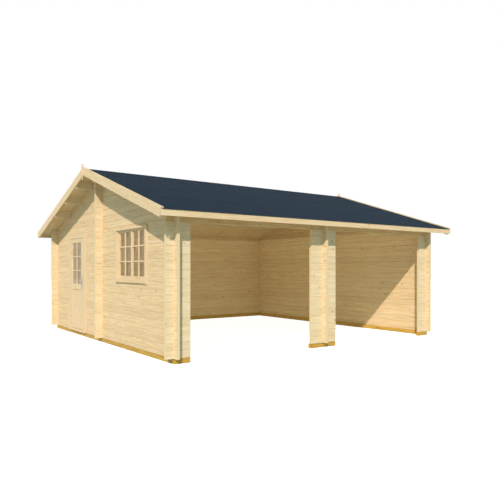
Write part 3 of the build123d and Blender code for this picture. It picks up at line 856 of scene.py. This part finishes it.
def round_plate(mesh, x0, x1, y, z0, z1):
    """A plate with rounded corners and an eased outer edge."""
    reach = plate_width / 2 - plate_corner
    outline = []
    for turn, (cy, cz) in enumerate((
        (y + reach, z1 - plate_corner), (y - reach, z1 - plate_corner),
        (y - reach, z0 + plate_corner), (y + reach, z0 + plate_corner),
    )):
        outline += [(cy, cz, pi / 2 * (turn + i / corner_steps)) for i in range(corner_steps + 1)]
    rings = []
    shoulder = x0 + (x1 - x0) * plate_ease_start
    for x, r in ((x0, plate_corner), (shoulder, plate_corner), (x1, plate_corner - plate_ease)):
        rings.append([mesh.verts.new((x, cy + cos(a) * r, cz + sin(a) * r)) for cy, cz, a in outline])
    skin(mesh, rings)


mesh = bmesh.new()
turns = [2 * pi * i / lever_sides for i in range(lever_sides)]
for face, tip, out in ((leaf_low.x, handle_low.x, -1), (leaf_high.x, handle_high.x, 1)):
    plate = face + out * plate_thick
    round_plate(mesh, face, plate, lever_y, handle_low.z, handle_low.z + plate_height)
    collar = plate + out * collar_thick
    rings = []
    for x, r in (
        (plate, collar_radius), (collar, collar_radius), (collar + out * neck_flare, neck_radius),
        (tip, neck_radius),
    ):
        rings.append([mesh.verts.new((x, lever_y + cos(a) * r, lever_z + sin(a) * r)) for a in turns])
    skin(mesh, rings)
    middle = tip - out * lever_thick / 2
    rings = []
    for y, share in lever_shape:
        across, up = lever_thick / 2 * share, lever_radius * share
        rings.append([mesh.verts.new((middle + cos(a) * across, y, lever_z + sin(a) * up)) for a in turns])
    skin(mesh, rings)
    heights = (plate_screw_inset, plate_height - plate_screw_inset)
    places = [(plate, lever_y, handle_low.z + z) for z in heights]
    heads(mesh, places, (out, 0, 0), plate_screw_radius, screw_head)
handle = solid("lever_handle", mesh, [steel], "side_door")
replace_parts(handle, "door_handle")
for face in handle.data.polygons:
    face.use_smooth = len(face.vertices) == 4

# Hinges: lift-off pairs, one half on the leaf and one on the jamb, the upper
# barrel standing on the lower one's pin. They are of steel with a yellow
# zinc plating.
yellow_zinc = metal(
    "yellow_zinc", (0.78, 0.62, 0.36, 1), (0.84, 0.72, 0.48, 1),
    mottle=(70.0, 70.0, 70.0), detail=3.0, smooth=0.45, rough=0.6, contrast=0.2,
)
finish_nodes(yellow_zinc, "door_hinges", "jamb_hinges")

# Window frame: planed softwood standing through the wall, two full uprights
# with a sill and a head housed between them and a rounded arris all round.
window_low, window_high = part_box("window_frame")
frame_side = 0.045
frame_top = frame_side / 2
frame_ease = 0.003
side_y0, side_y1 = window_low.y + frame_side, window_high.y - frame_side
mesh = bmesh.new()
x0, x1 = window_low.x, window_high.x
for y0, y1 in ((window_low.y, side_y0), (side_y1, window_high.y)):
    plank(mesh, (x0, y0, window_low.z), (x1, y1, window_high.z), edge=frame_ease)
for z0, z1 in ((window_low.z, window_low.z + frame_side), (window_high.z - frame_top, window_high.z)):
    plank(mesh, (x0, side_y0, z0), (x1, side_y1, z1), edge=frame_ease, slot=1)
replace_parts(solid("window_lining", mesh, [upright, level_wood], "cabin"), "window_frame")

# Window sashes: two fixed sashes side by side, each with stiles and rails and
# a pane that bars and beads divide and hold in the same way as the door's.
sash_low, sash_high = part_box("window_sashes")
pane_low, pane_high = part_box("window_glass")
sash_stile = pane_low.y - sash_low.y
sash_ease = 0.0025
half_way = (sash_low.y + sash_high.y) / 2
sashes = bmesh.new()
bars = bmesh.new()
for side_y0, side_y1 in ((sash_low.y, half_way), (half_way, sash_high.y)):
    pane_y0, pane_y1 = side_y0 + sash_stile, side_y1 - sash_stile
    for y0, y1 in ((side_y0, pane_y0), (pane_y1, side_y1)):
        plank(sashes, (sash_low.x, y0, sash_low.z), (sash_high.x, y1, sash_high.z), edge=sash_ease)
    for z0, z1 in ((sash_low.z, pane_low.z), (pane_high.z, sash_high.z)):
        plank(sashes, (sash_low.x, pane_y0, z0), (sash_high.x, pane_y1, z1), edge=sash_ease, slot=1)
    low = Vector((pane_low.x, pane_y0, pane_low.z))
    high = Vector((pane_high.x, pane_y1, pane_high.z))
    glazing_bars(bars, low, high, sash_low.x + bar_back)
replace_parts(solid("window_joinery", sashes, [upright, level_wood], "cabin"), "window_sashes")
solid("window_bars", bars, [upright, level_wood], "cabin")
finish_nodes(glass, "window_glass")

# Window casing: boards nailed over the joint between frame and logs, inside
# and out. The uprights run down past the bottom board, which stands proud
# outside, where a narrow board on top throws off the rain.
low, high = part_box("window_trim")
tail = 0.022
head_lap = 0.012
head_ease = 0.003
bottom_stand = 0.013
window_pin_step = 0.26
bottom = low.z + tail
mesh = bmesh.new()
nails = bmesh.new()
for x0, x1, out in casing_faces:
    plank(mesh, (x0, low.y, low.z), (x1, window_low.y, high.z))
    plank(mesh, (x0, window_high.y, low.z), (x1, high.y, high.z))
    plank(mesh, (x0, window_low.y, window_high.z), (x1, window_high.y, high.z), slot=1)
    sill_face = x0 - bottom_stand if out < 0 else x0
    plank(mesh, (sill_face, window_low.y, bottom), (x1, window_high.y, window_low.z), slot=1)
    face = x0 if out < 0 else x1
    lines = [(low.y + window_low.y) / 2, (high.y + window_high.y) / 2]
    board_nails(nails, face, out, lines, low.z + pin_end, window_high.z - pin_end, window_pin_step)
head_foot = window_high.z - head_lap
plank(mesh, (low.x, low.y, head_foot), (casing_faces[0][0], high.y, high.z), edge=head_ease, slot=1)
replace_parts(solid("window_casing", mesh, [upright, level_wood], "cabin"), "window_trim")
solid("window_casing_nails", nails, [zinc], "cabin")

# Ground: a plain pale floor. It shows white to the camera and keeps the
# cabin's shadow, and lights the walls as a pale floor does.


def seen_directly(tree):
    """One for rays from the camera and for those that reach it by a mirror or through glass, else nothing."""
    ray = put(tree, "ShaderNodeLightPath").outputs
    by_glass = reckon(tree, "MAXIMUM", ray["Is Glossy Ray"], ray["Is Transmission Ray"])
    return reckon(tree, "MAXIMUM", ray["Is Camera Ray"], by_glass)


floor_reach = 60.0
mesh = bmesh.new()
corners = [(-1, -1), (1, -1), (1, 1), (-1, 1)]
mesh.faces.new([mesh.verts.new((x * floor_reach, y * floor_reach, 0)) for x, y in corners])
floor = bpy.data.objects.new("floor", bpy.data.meshes.new("floor"))
mesh.to_mesh(floor.data)
mesh.free()
bpy.context.scene.collection.objects.link(floor)
paving, tree, shader = new_material("pale_floor")
shader.inputs["Base Color"].default_value = (0.58, 0.60, 0.58, 1)
shader.inputs["Roughness"].default_value = 1.0
shader.inputs["Specular IOR Level"].default_value = 0.0
shader.inputs["Emission Color"].default_value = (0.95, 0.975, 1.0, 1)
tree.links.new(reckon(tree, "MULTIPLY", seen_directly(tree), 0.86), shader.inputs["Emission Strength"])
floor.data.materials.append(paving)

# Light: a warm sun from the front left and a pale sky, with two soft fills that
# the camera doesn't see, one up from the floor of the room and one down from
# under its roof, where the open bays let little of either in.
sun = bpy.data.objects.new("sun", bpy.data.lights.new("sun", "SUN"))
sun.data.energy = 3.72
sun.data.color = (1.0, 0.872, 0.807)
sun.data.angle = 0.02
sun.rotation_mode = "QUATERNION"
sun.rotation_quaternion = Vector((0.98, 1.0, -1.04)).to_track_quat("-Z", "Y")
bpy.context.scene.collection.objects.link(sun)

room_width = 5.54
room_depth = 5.35
room_middle = 0.06
for name, height, power, turn in (("fill_up", 0.01, 28.0, pi), ("fill_down", 2.15, 22.0, 0)):
    fill = bpy.data.objects.new(name, bpy.data.lights.new(name, "AREA"))
    fill.data.shape = "RECTANGLE"
    fill.data.size = room_width
    fill.data.size_y = room_depth
    fill.data.energy = power
    fill.data.color = (1.0, 0.97, 0.72)
    fill.location = (0, room_middle, height)
    fill.rotation_euler = (turn, 0, 0)
    fill.visible_camera = False
    fill.visible_glossy = False
    fill.visible_transmission = False
    bpy.context.scene.collection.objects.link(fill)

world = bpy.data.worlds.new("sky")
world.use_nodes = True
bpy.context.scene.world = world
tree = world.node_tree
sky = tree.nodes["Background"]
sky.inputs["Color"].default_value = (0.57, 0.94, 0.92, 1)
sky.inputs["Strength"].default_value = 0.40
backdrop = put(tree, "ShaderNodeBackground", {"Color": (1, 1, 1, 1), "Strength": 1.0})
both = put(tree, "ShaderNodeMixShader", {0: seen_directly(tree), 1: sky.outputs[0], 2: backdrop.outputs[0]})
tree.links.new(both.outputs[0], tree.nodes["World Output"].inputs["Surface"])

# Camera: level, at eye height, off the front left corner, with the lens
# shifted up so that the walls stand upright in the picture.
camera = bpy.data.objects.new("camera", bpy.data.cameras.new("camera"))
camera.data.sensor_width = 36.0
camera.data.lens = 38.33
camera.data.shift_y = 0.0372
camera.location = (-6.3185, -9.4723, 1.3388)
camera.rotation_euler = (pi / 2, 0, -0.6224)
bpy.context.scene.collection.objects.link(camera)
bpy.context.scene.camera = camera
bpy.context.scene.view_settings.view_transform = "Standard"
